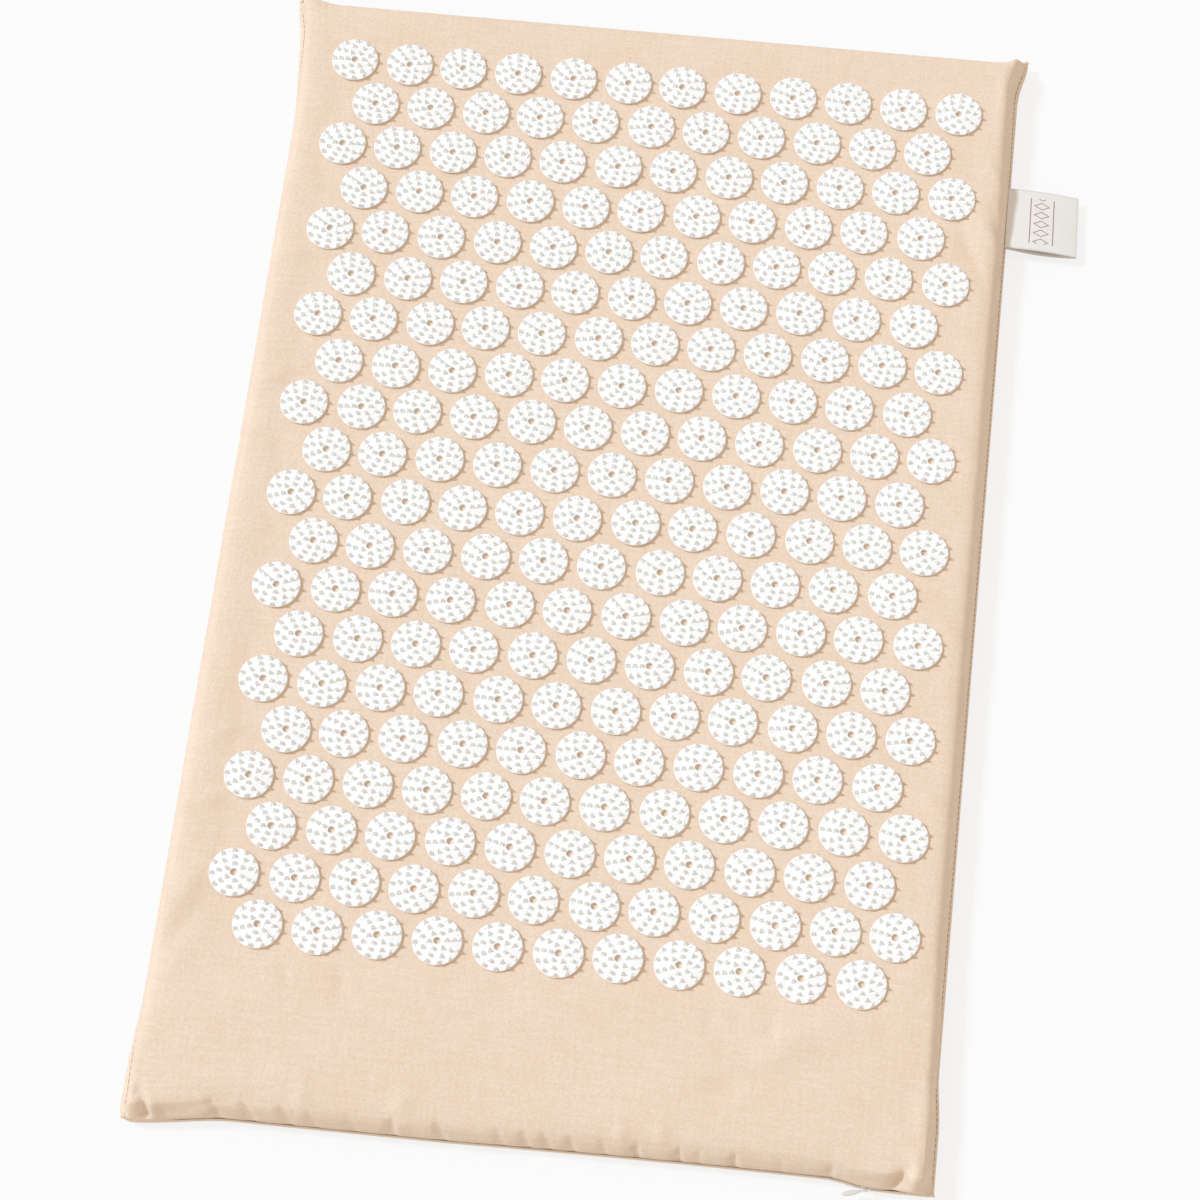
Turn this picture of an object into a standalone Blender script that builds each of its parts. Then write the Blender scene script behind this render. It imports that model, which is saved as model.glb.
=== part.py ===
"""Acupressure mat: a zipped cloth cover over a foam slab, set with rows of plastic spike discs.

Metres, +Z up. The origin is on the floor under the middle of the mat. +Y runs to the rear edge,
and the zip is in the front edge.
"""

import math

import bmesh
import bpy
from mathutils import Matrix, Vector

# Mat, between its seams at the middle of each side
MAT_WIDTH = 0.406
MAT_LENGTH = 0.643
MAT_THICKNESS = 0.022
SEAM_HEIGHT = 0.0085
UPPER_ROLL = 0.0155
LOWER_ROLL = 0.0115
SEAM_BAND = 0.0015
SIDE_EAR = 0.0045
END_EAR = 0.004
CLOTH = 0.0008
CLEARANCE = 0.0003
MERGE = 0.000002

# Foam slab
FOAM_INSET = 0.0125
FOAM_EDGE_RADIUS = 0.003
FOAM_CORNER_RADIUS = 0.012

# Spike discs
DISC_PITCH = 0.031
ROW_PITCH = 0.0265
DISC_DIAMETER = 0.026
DISC_RIM = 0.0006
DISC_DOME = 0.0009
SPIKE_HEIGHT = 0.0042
FIRST_ROW_TO_REAR = 0.0409
BARE_FRONT = 0.096
BARE_SIDE = 0.030
DISC_SPIKES = 10

# Folded ribbon label
LABEL_OUT = 0.039
LABEL_WIDTH = 0.037
LABEL_TO_REAR = 0.0955
LABEL_DROOP = 0.003
LABEL_LOOP = 0.0022
LABEL_ROOT = 0.0007
RIBBON = 0.0004

# Concealed zip
ZIP_TO_SIDE = 0.031
ZIP_END_EASE = 0.010
ZIP_CLEARANCE = 0.0004
COIL_WIDTH = 0.0016
COIL_THICKNESS = 0.0018
TAPE = 0.0005
TAPE_OVERHANG = 0.003
STOP_LENGTH = 0.003
SLIDER_LENGTH = 0.0068
SLIDER_WALL = 0.0007
SLIDER_TO_STOP = 0.0025
NECK_THICKNESS = 0.0012
NECK_LENGTH = 0.0026
CROWN_LENGTH = 0.0050
CROWN_WIDTH = 0.0026
CROWN_THICKNESS = 0.0008
BRIDGE_WIRE = 0.0007
BRIDGE_RADIUS = 0.0021
PIN_DIAMETER = 0.0007
PULL_LENGTH = 0.0125
PULL_WIDTH = 0.0040
PULL_THICKNESS = 0.0009
PULL_LEG = 0.0007
PULL_OUTWARD_DEGREES = 20

# How finely the soft forms are divided
ROLL_TURN_SHARES = (0, 0.28, 0.54, 0.78)
EAR_START_SHARE = 0.85
EAR_LINE_SHARES = (0, 0.4, 0.75, 1)
LABEL_STEPS = 6
FOLD_STEPS = 4
BRIDGE_STEPS = 8
PULL_SIDES = 20
PIN_SIDES = 10

FRONT_TO_MIDDLE = MAT_LENGTH / 2
ZIP_LENGTH = MAT_WIDTH - 2 * ZIP_TO_SIDE
LONG_ROW_DISCS = int((MAT_WIDTH - 2 * BARE_SIDE) / DISC_PITCH) + 1
ROWS = int((MAT_LENGTH - FIRST_ROW_TO_REAR - BARE_FRONT) / ROW_PITCH) + 1
ZIP_SLIT = NECK_THICKNESS + 2 * ZIP_CLEARANCE
ZIP_BAND = COIL_WIDTH + ZIP_CLEARANCE + SLIDER_WALL + CLEARANCE
TAPE_DEPTH = CLOTH + CLEARANCE
COIL_DEPTH = TAPE_DEPTH + TAPE + CLEARANCE
COIL_BACK = COIL_DEPTH + COIL_THICKNESS
COIL_REACH = ZIP_SLIT / 2 + COIL_WIDTH
CHANNEL_REACH = COIL_REACH + ZIP_CLEARANCE
BACK_PLATE_DEPTH = COIL_BACK + ZIP_CLEARANCE
SLIDER_X = ZIP_LENGTH / 2 - SLIDER_TO_STOP - SLIDER_LENGTH / 2
CROWN_FRONT = -ZIP_CLEARANCE - CROWN_THICKNESS
BRIDGE_CENTRE = CROWN_FRONT + CROWN_THICKNESS / 2
PIVOT_DEPTH = (CROWN_FRONT + BRIDGE_CENTRE - BRIDGE_RADIUS + BRIDGE_WIRE / 2) / 2


def clear_scene():
    for old in list(bpy.data.objects):
        bpy.data.objects.remove(old, do_unlink=True)


def collection_named(name):
    made = bpy.data.collections.new(name)
    bpy.context.scene.collection.children.link(made)
    return made


def finish_material(name, colour, roughness, metallic=0):
    made = bpy.data.materials.new(name)
    made.use_nodes = True
    shader = made.node_tree.nodes["Principled BSDF"]
    shader.inputs["Base Color"].default_value = (*colour, 1)
    shader.inputs["Roughness"].default_value = roughness
    shader.inputs["Metallic"].default_value = metallic
    return made


def piece(name, bm, material, smooth_degrees=None):
    """One named sub-part, made from a bmesh."""
    mesh = bpy.data.meshes.new(name)
    bm.to_mesh(mesh)
    bm.free()
    mesh.materials.append(material)
    if smooth_degrees:
        mesh.shade_smooth()
        mesh.set_sharp_from_angle(angle=math.radians(smooth_degrees))
    made = bpy.data.objects.new(name, mesh)
    PARTS.objects.link(made)
    return made


def block(low, high):
    """A box between two corners, as a bmesh."""
    bm = bmesh.new()
    bmesh.ops.create_cube(bm, size=1)
    size = Vector(high) - Vector(low)
    middle = (Vector(high) + Vector(low)) / 2
    bmesh.ops.scale(bm, vec=size, verts=bm.verts)
    bmesh.ops.translate(bm, vec=middle, verts=bm.verts)
    return bm


def join_on(target, name, bm):
    """Joins a further shape to a piece, by a Boolean union with a hidden helper."""
    mesh = bpy.data.meshes.new(name)
    bm.to_mesh(mesh)
    bm.free()
    helper = bpy.data.objects.new(name, mesh)
    helper.hide_render = True
    helper.display_type = "WIRE"
    HELPERS.objects.link(helper)
    helper.location = target.location
    helper.rotation_euler = target.rotation_euler
    union = target.modifiers.new(name, "BOOLEAN")
    union.operation = "UNION"
    union.object = helper


def ease(share):
    """A smooth step from 0 to 1."""
    held = min(max(share, 0), 1)
    return held * held * (3 - 2 * held)


def ear_share(distance, half, start_share):
    """How far the outline has swung out towards the corner, at this distance from the middle."""
    return ease((abs(distance) / half - start_share) / (1 - start_share))


def half_width_at(y):
    return MAT_WIDTH / 2 + SIDE_EAR * ear_share(y, MAT_LENGTH / 2, EAR_START_SHARE)


def half_length_at(x):
    """The end edges stay straight along the zip, and swing out beyond it."""
    return MAT_LENGTH / 2 + END_EAR * ear_share(x, MAT_WIDTH / 2, ZIP_LENGTH / MAT_WIDTH)


def zip_share(x, y):
    """1 along the zip in the front edge, and 0 where the edge is a plain seam."""
    return 0 if y > 0 else 1 - ease((abs(x) - ZIP_LENGTH / 2) / ZIP_END_EASE)


def between(plain, at_zip, share):
    return plain + (at_zip - plain) * share


def roll_lines(roll_width):
    """Each line of the rolled edge: its distance in from the seam and its share of the rise."""
    lines = [(0, 0)]
    for turn_share in ROLL_TURN_SHARES:
        turn = turn_share * math.pi / 2
        lines.append((roll_width * (1 - math.cos(turn)), math.sin(turn)))
    return lines


def grid_lines(half, roll_width, inner):
    """Lines from one edge to the other, mirrored: place, share of the rise, whether on the edge."""
    roll = roll_lines(roll_width)
    low = [(inset - half, share, at == 0) for at, (inset, share) in enumerate(roll)]
    high = [(half - inset, share, at == 0) for at, (inset, share) in enumerate(roll)]
    places = [-place for place in reversed(inner)] + inner
    return low + [(place, 1, False) for place in places] + high[::-1]


def panel_surface(roll_width, far_height, side):
    """The outer surface of a panel: side is 1 for the upper one and -1 for the lower one."""
    slit_end = ZIP_LENGTH / 2
    across = [slit_end, slit_end + ZIP_END_EASE, MAT_WIDTH / 2 - roll_width]
    ear_start = EAR_START_SHARE * MAT_LENGTH / 2
    flat_end = MAT_LENGTH / 2 - roll_width
    along = [between(ear_start, flat_end, share) for share in EAR_LINE_SHARES]
    across_lines = grid_lines(MAT_WIDTH / 2, roll_width, across)
    along_lines = grid_lines(MAT_LENGTH / 2, roll_width, along)
    bm = bmesh.new()
    columns, rows = len(across_lines), len(along_lines)
    bmesh.ops.create_grid(bm, x_segments=columns - 1, y_segments=rows - 1, size=1)
    for vert in bm.verts:
        column = round((vert.co.x + 1) / 2 * (columns - 1))
        row = round((vert.co.y + 1) / 2 * (rows - 1))
        x, rise_x, edge_x = across_lines[column]
        y, rise_y, edge_y = along_lines[row]
        zipped = zip_share(x, y)
        edge = SEAM_HEIGHT + side * between(CLEARANCE, ZIP_SLIT, zipped) / 2
        foot = edge + side * between(SEAM_BAND, ZIP_BAND, zipped)
        height = edge if edge_x or edge_y else foot + (far_height - foot) * rise_x * rise_y
        outward_x = math.copysign(half_width_at(y) - MAT_WIDTH / 2, x)
        outward_y = math.copysign(half_length_at(x) - MAT_LENGTH / 2, y)
        share_x = abs(x) / (MAT_WIDTH / 2)
        share_y = abs(y) / (MAT_LENGTH / 2)
        vert.co = (x + outward_x * share_x, y + outward_y * share_y, height)
    bmesh.ops.remove_doubles(bm, verts=bm.verts, dist=MERGE)
    if side < 0:
        bmesh.ops.reverse_faces(bm, faces=bm.faces)
    return bm


def add_thickness(target, thickness, offset):
    wall = target.modifiers.new("thickness", "SOLIDIFY")
    wall.thickness = thickness
    wall.offset = offset


def cover_panels():
    cotton = finish_material("cotton", (0.85, 0.70, 0.55), 0.9)
    upper = piece("cover_upper_panel", panel_surface(UPPER_ROLL, MAT_THICKNESS, 1), cotton, 50)
    lower = piece("cover_lower_panel", panel_surface(LOWER_ROLL, 0, -1), cotton, 50)
    add_thickness(upper, CLOTH, -1)
    add_thickness(lower, CLOTH, -1)


def foam_core():
    half_x = MAT_WIDTH / 2 - FOAM_INSET
    half_y = MAT_LENGTH / 2 - FOAM_INSET
    inner = CLOTH + CLEARANCE
    bm = block((-half_x, -half_y, inner), (half_x, half_y, MAT_THICKNESS - inner))
    upright = [edge for edge in bm.edges if edge.verts[0].co.xy == edge.verts[1].co.xy]
    bmesh.ops.bevel(
        bm, geom=upright, offset=FOAM_CORNER_RADIUS, segments=3, profile=0.5, affect="EDGES"
    )
    caps = [face for face in bm.faces if abs(face.normal.z) > 0.5]
    rims = list({edge for face in caps for edge in face.edges})
    bmesh.ops.bevel(
        bm, geom=rims, offset=FOAM_EDGE_RADIUS, segments=2, profile=0.5, affect="EDGES"
    )
    foam = finish_material("foam", (0.75, 0.74, 0.70), 1.0)
    piece("foam_core", bm, foam, 50)


def add_disc(bm, x):
    """A low domed plate with spikes raised on its top, and its two linking sides."""
    turn = math.pi / DISC_SPIKES - math.pi / 2
    place = Matrix.Translation((x, 0, DISC_RIM / 2)) @ Matrix.Rotation(turn, 4, "Z")
    verts = bmesh.ops.create_cone(
        bm,
        cap_ends=True,
        cap_tris=True,
        segments=DISC_SPIKES,
        radius1=DISC_DIAMETER / 2,
        radius2=DISC_DIAMETER / 2,
        depth=DISC_RIM,
        matrix=place,
    )["verts"]
    faces = {face for vert in verts for face in vert.link_faces}
    bmesh.ops.recalc_face_normals(bm, faces=list(faces))
    tops = [face for face in faces if face.normal.z > 0.5]
    left = min(faces, key=lambda face: face.normal.x)
    right = max(faces, key=lambda face: face.normal.x)
    for vert in verts:
        if len(vert.link_faces) == DISC_SPIKES and vert.co.z > DISC_RIM / 2:
            vert.co.z += DISC_DOME
    bmesh.ops.poke(bm, faces=tops, offset=SPIKE_HEIGHT, center_mode="MEAN")
    return left, right


def spike_disc_row(number, plastic):
    """One row of discs, linked rim to rim so that the row is a single solid."""
    count = LONG_ROW_DISCS - number % 2
    first = -(count - 1) / 2 * DISC_PITCH
    bm = bmesh.new()
    last_right = None
    for column in range(count):
        left, right = add_disc(bm, first + column * DISC_PITCH)
        if last_right:
            rims = list(last_right.edges) + list(left.edges)
            bmesh.ops.delete(bm, geom=[last_right, left], context="FACES_ONLY")
            bmesh.ops.bridge_loops(bm, edges=rims)
        last_right = right
    bmesh.ops.recalc_face_normals(bm, faces=bm.faces)
    row = piece(f"spike_disc_row_{number + 1:02d}", bm, plastic)
    y = MAT_LENGTH / 2 - FIRST_ROW_TO_REAR - number * ROW_PITCH
    row.location = (0, y, MAT_THICKNESS + CLEARANCE)


def strip(points, start_x, end_x):
    """An open strip: a path of (depth from the front plane, height) points, drawn along X."""
    bm = bmesh.new()
    verts = [bm.verts.new((start_x, depth - FRONT_TO_MIDDLE, z)) for depth, z in points]
    edges = [bm.edges.new(pair) for pair in zip(verts, verts[1:])]
    made = bmesh.ops.extrude_edge_only(bm, edges=edges)["geom"]
    moved = [item for item in made if isinstance(item, bmesh.types.BMVert)]
    bmesh.ops.translate(bm, vec=(end_x - start_x, 0, 0), verts=moved)
    return bm


def tape_path(roll_width, far_height, side):
    """The line of a tape's middle: the panel's own section, moved in behind the cloth."""
    edge = SEAM_HEIGHT + side * ZIP_SLIT / 2
    foot = edge + side * ZIP_BAND
    section = [Vector((0, edge))]
    for inset, rise in roll_lines(roll_width)[1:-1]:
        section.append(Vector((inset, foot + (far_height - foot) * rise)))
    depth = TAPE_DEPTH + TAPE / 2
    path = []
    for at, point in enumerate(section):
        before = section[max(at - 1, 0)]
        after = section[min(at + 1, len(section) - 1)]
        way = (after - before).normalized()
        inward = Vector((way.y, -way.x)) * side
        path.append(point + inward * depth)
    return path


def zip_chain():
    """Two tapes, two halves of the coil and the stops at the ends, behind the slit."""
    front = -FRONT_TO_MIDDLE
    half = ZIP_LENGTH / 2
    woven = finish_material("zip_tape", (0.82, 0.68, 0.54), 0.85)
    nylon = finish_material("zip_nylon", (0.80, 0.66, 0.52), 0.45)
    for word, side, roll_width, far_height in (
        ("upper", 1, UPPER_ROLL, MAT_THICKNESS),
        ("lower", -1, LOWER_ROLL, 0),
    ):
        path = tape_path(roll_width, far_height, side)
        tape_end = half + TAPE_OVERHANG
        tape = piece(f"zip_tape_{word}", strip(path, -tape_end, tape_end), woven)
        add_thickness(tape, TAPE, 0)
        near = SEAM_HEIGHT + side * ZIP_SLIT / 2
        far = SEAM_HEIGHT + side * COIL_REACH
        low = (-half, front + COIL_DEPTH, min(near, far))
        high = (half, front + COIL_BACK, max(near, far))
        piece(f"zip_coil_{word}", block(low, high), nylon)
    for word, side in (("left", -1), ("right", 1)):
        ends = sorted((side * (half + CLEARANCE), side * (half + CLEARANCE + STOP_LENGTH)))
        low = (ends[0], front + COIL_DEPTH, SEAM_HEIGHT - COIL_REACH)
        high = (ends[1], front + COIL_BACK, SEAM_HEIGHT + COIL_REACH)
        piece(f"zip_stop_{word}", block(low, high), nylon)


def zip_slider():
    """A channel round the coil, and a neck through the slit to the bridge that holds the pull."""
    metal = finish_material("slider_metal", (0.80, 0.78, 0.74), 0.35, 0.6)
    half = SLIDER_LENGTH / 2
    outer = CHANNEL_REACH + SLIDER_WALL
    back = BACK_PLATE_DEPTH + SLIDER_WALL
    seated = SLIDER_WALL / 2
    slider = piece(
        "zip_slider_body", block((-half, BACK_PLATE_DEPTH, -outer), (half, back, outer)), metal
    )
    slider.location = (SLIDER_X, -FRONT_TO_MIDDLE, SEAM_HEIGHT)
    for word, side in (("upper", 1), ("lower", -1)):
        reach = sorted((side * CHANNEL_REACH, side * outer))
        flange = block((-half, COIL_DEPTH, reach[0]), (half, BACK_PLATE_DEPTH + seated, reach[1]))
        join_on(slider, f"slider_flange_{word}", flange)
    neck = block(
        (-NECK_LENGTH / 2, BRIDGE_CENTRE, -NECK_THICKNESS / 2),
        (NECK_LENGTH / 2, BACK_PLATE_DEPTH + seated, NECK_THICKNESS / 2),
    )
    join_on(slider, "slider_neck", neck)
    crown = block(
        (-CROWN_LENGTH / 2, CROWN_FRONT, -CROWN_WIDTH / 2),
        (CROWN_LENGTH / 2, CROWN_FRONT + CROWN_THICKNESS, CROWN_WIDTH / 2),
    )
    join_on(slider, "slider_crown", crown)
    join_on(slider, "slider_bridge", bridge_arch())


def bridge_arch():
    """A flat wire bent in a half circle from one end of the crown to the other."""
    bm = bmesh.new()
    bmesh.ops.create_grid(bm, x_segments=1, y_segments=1, size=0.5)
    turned = Matrix.Rotation(math.pi / 2, 4, "X")
    bmesh.ops.transform(bm, matrix=turned, verts=bm.verts)
    bmesh.ops.scale(bm, vec=(BRIDGE_WIRE, 1, NECK_THICKNESS), verts=bm.verts)
    centre = Vector((0, BRIDGE_CENTRE, 0))
    bmesh.ops.translate(bm, vec=centre + Vector((BRIDGE_RADIUS, 0, 0)), verts=bm.verts)
    section = bm.verts[:] + bm.edges[:] + bm.faces[:]
    bmesh.ops.spin(
        bm, geom=section, cent=centre, axis=(0, 0, 1), angle=-math.pi, steps=BRIDGE_STEPS
    )
    close_spun(bm)
    return bm


def close_spun(bm):
    """Caps the open ends of a half turn and points the faces outwards."""
    bmesh.ops.remove_doubles(bm, verts=bm.verts, dist=MERGE)
    bmesh.ops.holes_fill(bm, edges=[edge for edge in bm.edges if edge.is_boundary])
    bmesh.ops.recalc_face_normals(bm, faces=bm.faces)


def pull_tab():
    """A leaf with an eye at its root: two legs past the bridge and a cross pin under it."""
    plastic = finish_material("pull_plastic", (0.88, 0.87, 0.84), 0.35)
    eye_reach = BRIDGE_RADIUS + BRIDGE_WIRE + ZIP_CLEARANCE
    leaf_length = PULL_LENGTH - eye_reach
    leaf = bmesh.new()
    bmesh.ops.create_cone(
        leaf,
        cap_ends=True,
        segments=PULL_SIDES,
        radius1=0.5,
        radius2=0.5,
        depth=1,
        matrix=Matrix.Rotation(math.pi / 2, 4, "X"),
    )
    size = (leaf_length, PULL_THICKNESS, PULL_WIDTH)
    bmesh.ops.scale(leaf, vec=size, verts=leaf.verts)
    bmesh.ops.translate(leaf, vec=(-eye_reach - leaf_length / 2, 0, 0), verts=leaf.verts)
    pull = piece("zip_pull_tab", leaf, plastic, 50)
    pull.location = (SLIDER_X, PIVOT_DEPTH - FRONT_TO_MIDDLE, SEAM_HEIGHT)
    pull.rotation_euler = (0, 0, math.radians(PULL_OUTWARD_DEGREES))
    inner = NECK_THICKNESS / 2 + ZIP_CLEARANCE
    outer = inner + PULL_LEG
    half = PULL_THICKNESS / 2
    for word, side in (("upper", 1), ("lower", -1)):
        reach = sorted((side * inner, side * outer))
        leg = block((-eye_reach - PULL_LEG, -half, reach[0]), (0, half, reach[1]))
        join_on(pull, f"pull_leg_{word}", leg)
    root = block((-eye_reach - 2 * PULL_LEG, -half, -outer), (-eye_reach, half, outer))
    join_on(pull, "pull_root", root)
    pin = bmesh.new()
    bmesh.ops.create_cone(
        pin,
        cap_ends=True,
        segments=PIN_SIDES,
        radius1=PIN_DIAMETER / 2,
        radius2=PIN_DIAMETER / 2,
        depth=2 * inner + PULL_LEG,
    )
    join_on(pull, "pull_pin", pin)


def label_path():
    """Middle line of the folded ribbon: out along the upper layer, round the fold, and back."""
    far = MAT_LENGTH / 2 - LABEL_TO_REAR + LABEL_WIDTH / 2
    root = Vector((half_width_at(far) + CLEARANCE, SEAM_HEIGHT))
    run = LABEL_OUT - CLEARANCE - LABEL_LOOP / 2
    layer = []
    for step in range(LABEL_STEPS + 1):
        share = step / LABEL_STEPS
        half = (LABEL_ROOT + (LABEL_LOOP - LABEL_ROOT) * share * share) / 2
        layer.append((root.x + run * share, root.y - LABEL_DROOP * share * share, half))
    out = [(x, z + half) for x, z, half in layer]
    back = [(x, z - half) for x, z, half in reversed(layer)]
    tip_x, tip_z, radius = layer[-1]
    fold = []
    for step in range(1, FOLD_STEPS):
        turn = math.pi / 2 - math.pi * step / FOLD_STEPS
        fold.append((tip_x + radius * math.cos(turn), tip_z + radius * math.sin(turn)))
    return out + fold + back


def side_label():
    satin = finish_material("label_satin", (0.84, 0.83, 0.80), 0.5)
    bm = bmesh.new()
    near = MAT_LENGTH / 2 - LABEL_TO_REAR - LABEL_WIDTH / 2
    verts = [bm.verts.new((x, near, z)) for x, z in label_path()]
    edges = [bm.edges.new(pair) for pair in zip(verts, verts[1:])]
    made = bmesh.ops.extrude_edge_only(bm, edges=edges)["geom"]
    moved = [item for item in made if isinstance(item, bmesh.types.BMVert)]
    bmesh.ops.translate(bm, vec=(0, LABEL_WIDTH, 0), verts=moved)
    bmesh.ops.recalc_face_normals(bm, faces=bm.faces)
    label = piece("side_label", bm, satin, 50)
    add_thickness(label, RIBBON, 0)


clear_scene()
PARTS = collection_named("acupressure_mat")
HELPERS = collection_named("joining_shapes")
foam_core()
cover_panels()
zip_chain()
zip_slider()
pull_tab()
side_label()
disc_plastic = finish_material("disc_plastic", (0.90, 0.90, 0.89), 0.35)
for row_number in range(ROWS):
    spike_disc_row(row_number, disc_plastic)
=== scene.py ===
import math
import random

import bmesh
import bpy
from mathutils import Matrix, Vector


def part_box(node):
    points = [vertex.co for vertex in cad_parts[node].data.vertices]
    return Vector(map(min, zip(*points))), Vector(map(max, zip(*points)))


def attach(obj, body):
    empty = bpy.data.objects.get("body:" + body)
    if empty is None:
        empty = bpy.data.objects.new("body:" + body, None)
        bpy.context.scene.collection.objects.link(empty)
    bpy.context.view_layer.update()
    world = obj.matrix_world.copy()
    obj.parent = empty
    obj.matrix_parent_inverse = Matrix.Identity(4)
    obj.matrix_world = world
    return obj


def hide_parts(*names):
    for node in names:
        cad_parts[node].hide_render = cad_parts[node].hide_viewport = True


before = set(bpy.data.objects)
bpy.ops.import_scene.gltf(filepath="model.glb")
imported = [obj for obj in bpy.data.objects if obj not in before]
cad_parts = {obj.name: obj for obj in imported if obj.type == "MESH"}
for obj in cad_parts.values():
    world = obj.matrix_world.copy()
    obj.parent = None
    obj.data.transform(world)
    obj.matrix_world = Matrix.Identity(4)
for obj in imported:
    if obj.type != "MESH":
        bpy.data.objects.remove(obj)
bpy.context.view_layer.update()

# The studio: a camera high up and a little in front of the mat, as the photo was taken, a pale
# floor, a warm soft fill from all round, and one cooler lamp half way up on the left.
camera_data = bpy.data.cameras.new("camera")
camera_data.sensor_width = 36
camera_data.lens = 99
camera_data.clip_start = 0.05
camera_data.clip_end = 50
camera = bpy.data.objects.new("camera", camera_data)
camera.location = (0.0708, -0.63475, 1.6633)
camera.rotation_euler = (math.radians(20.39), math.radians(0.21), math.radians(5.99))
bpy.context.scene.collection.objects.link(camera)
bpy.context.scene.camera = camera
bpy.context.scene.view_settings.view_transform = "Standard"

LAMP_HEIGHT_DEGREES = 48
LAMP_TURN_DEGREES = 12
LAMP_SPREAD_DEGREES = 8
lamp_data = bpy.data.lights.new("side_lamp", "SUN")
lamp_data.energy = 1.96
lamp_data.color = (0.715, 0.85, 1)
lamp_data.angle = math.radians(LAMP_SPREAD_DEGREES)
lamp = bpy.data.objects.new("side_lamp", lamp_data)
lamp.rotation_euler = (
    0,
    math.radians(LAMP_HEIGHT_DEGREES - 90),
    math.radians(-LAMP_TURN_DEGREES),
)
bpy.context.scene.collection.objects.link(lamp)

FILL_LEVEL = 0.655
world = bpy.data.worlds.new("studio")
world.use_nodes = True
bpy.context.scene.world = world
sky = world.node_tree.nodes
sky.clear()
sky_links = world.node_tree.links
fill = sky.new("ShaderNodeBackground")
fill.inputs["Color"].default_value = (1, 0.90, 0.79, 1)
fill.inputs["Strength"].default_value = FILL_LEVEL
backdrop = sky.new("ShaderNodeBackground")
backdrop.inputs["Color"].default_value = (1, 1, 1, 1)
backdrop.inputs["Strength"].default_value = 1
rays = sky.new("ShaderNodeLightPath")
seen_or_glossy = sky.new("ShaderNodeMath")
seen_or_glossy.operation = "MAXIMUM"
seen_glossy_or_through = sky.new("ShaderNodeMath")
seen_glossy_or_through.operation = "MAXIMUM"
sky_mix = sky.new("ShaderNodeMixShader")
sky_out = sky.new("ShaderNodeOutputWorld")
sky_links.new(rays.outputs["Is Camera Ray"], seen_or_glossy.inputs[0])
sky_links.new(rays.outputs["Is Glossy Ray"], seen_or_glossy.inputs[1])
sky_links.new(seen_or_glossy.outputs[0], seen_glossy_or_through.inputs[0])
sky_links.new(rays.outputs["Is Transmission Ray"], seen_glossy_or_through.inputs[1])
sky_links.new(seen_glossy_or_through.outputs[0], sky_mix.inputs["Fac"])
sky_links.new(fill.outputs[0], sky_mix.inputs[1])
sky_links.new(backdrop.outputs[0], sky_mix.inputs[2])
sky_links.new(sky_mix.outputs[0], sky_out.inputs["Surface"])


def blank_material(name):
    """A material with an empty node tree, and a short way to add a node and to join two."""
    made = bpy.data.materials.new(name)
    made.use_nodes = True
    made.node_tree.nodes.clear()
    return made, made.node_tree.nodes.new, made.node_tree.links.new


def smooth(bm):
    """Shades every face smoothly."""
    for face in bm.faces:
        face.smooth = True


def piece_from(bm, name, material, body=None):
    """A finished piece: its mesh in place, its object at the origin, riding on a body."""
    mesh = bpy.data.meshes.new(name)
    bm.to_mesh(mesh)
    bm.free()
    mesh.materials.append(material)
    made = bpy.data.objects.new(name, mesh)
    bpy.context.scene.collection.objects.link(made)
    if body:
        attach(made, body)
    return made


FLOOR_HALF = 6
FLOOR_DROP = 0.0003
FLOOR_GLOW_SHARE = 0.80
floor_paint, node, join = blank_material("pale_floor")
floor_matt = node("ShaderNodeBsdfDiffuse")
floor_matt.inputs["Color"].default_value = (0.86, 0.86, 0.86, 1)
floor_glow = node("ShaderNodeEmission")
floor_glow.inputs["Strength"].default_value = 1
floor_rays = node("ShaderNodeLightPath")
floor_share = node("ShaderNodeMath")
floor_share.operation = "MULTIPLY"
floor_share.inputs[1].default_value = FLOOR_GLOW_SHARE
floor_mix = node("ShaderNodeMixShader")
floor_out = node("ShaderNodeOutputMaterial")
join(floor_rays.outputs["Is Camera Ray"], floor_share.inputs[0])
join(floor_share.outputs[0], floor_mix.inputs["Fac"])
join(floor_matt.outputs[0], floor_mix.inputs[1])
join(floor_glow.outputs[0], floor_mix.inputs[2])
join(floor_mix.outputs[0], floor_out.inputs["Surface"])
floor_bm = bmesh.new()
bmesh.ops.create_grid(floor_bm, x_segments=1, y_segments=1, size=FLOOR_HALF)
bmesh.ops.translate(floor_bm, vec=(0, 0, -FLOOR_DROP), verts=floor_bm.verts)
piece_from(floor_bm, "floor", floor_paint)

# How the mat lies: its cover is sheared a little against the rows of discs, and each corner is
# drawn out beyond the foam by its own amount, along the side and along the end.
upper_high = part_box("cover_upper_panel")[1]
CAD_SIDE_EAR = 0.0045
CAD_END_EAR = 0.004
HALF_WIDTH = upper_high.x - CAD_SIDE_EAR
HALF_LENGTH = upper_high.y - CAD_END_EAR
SHIFT = -0.0021
SHEAR_SHARE = 0.0130
SHEAR_NARROWING_SHARE = 0.0025
END_SLANT_SHARE = 0.0035
EAR_DEPTH = 0.045
CORNER_ROUNDS = {(-1, 1): 0.0030, (1, 1): 0.0024, (-1, -1): 0.0062, (1, -1): 0.0015}
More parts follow.
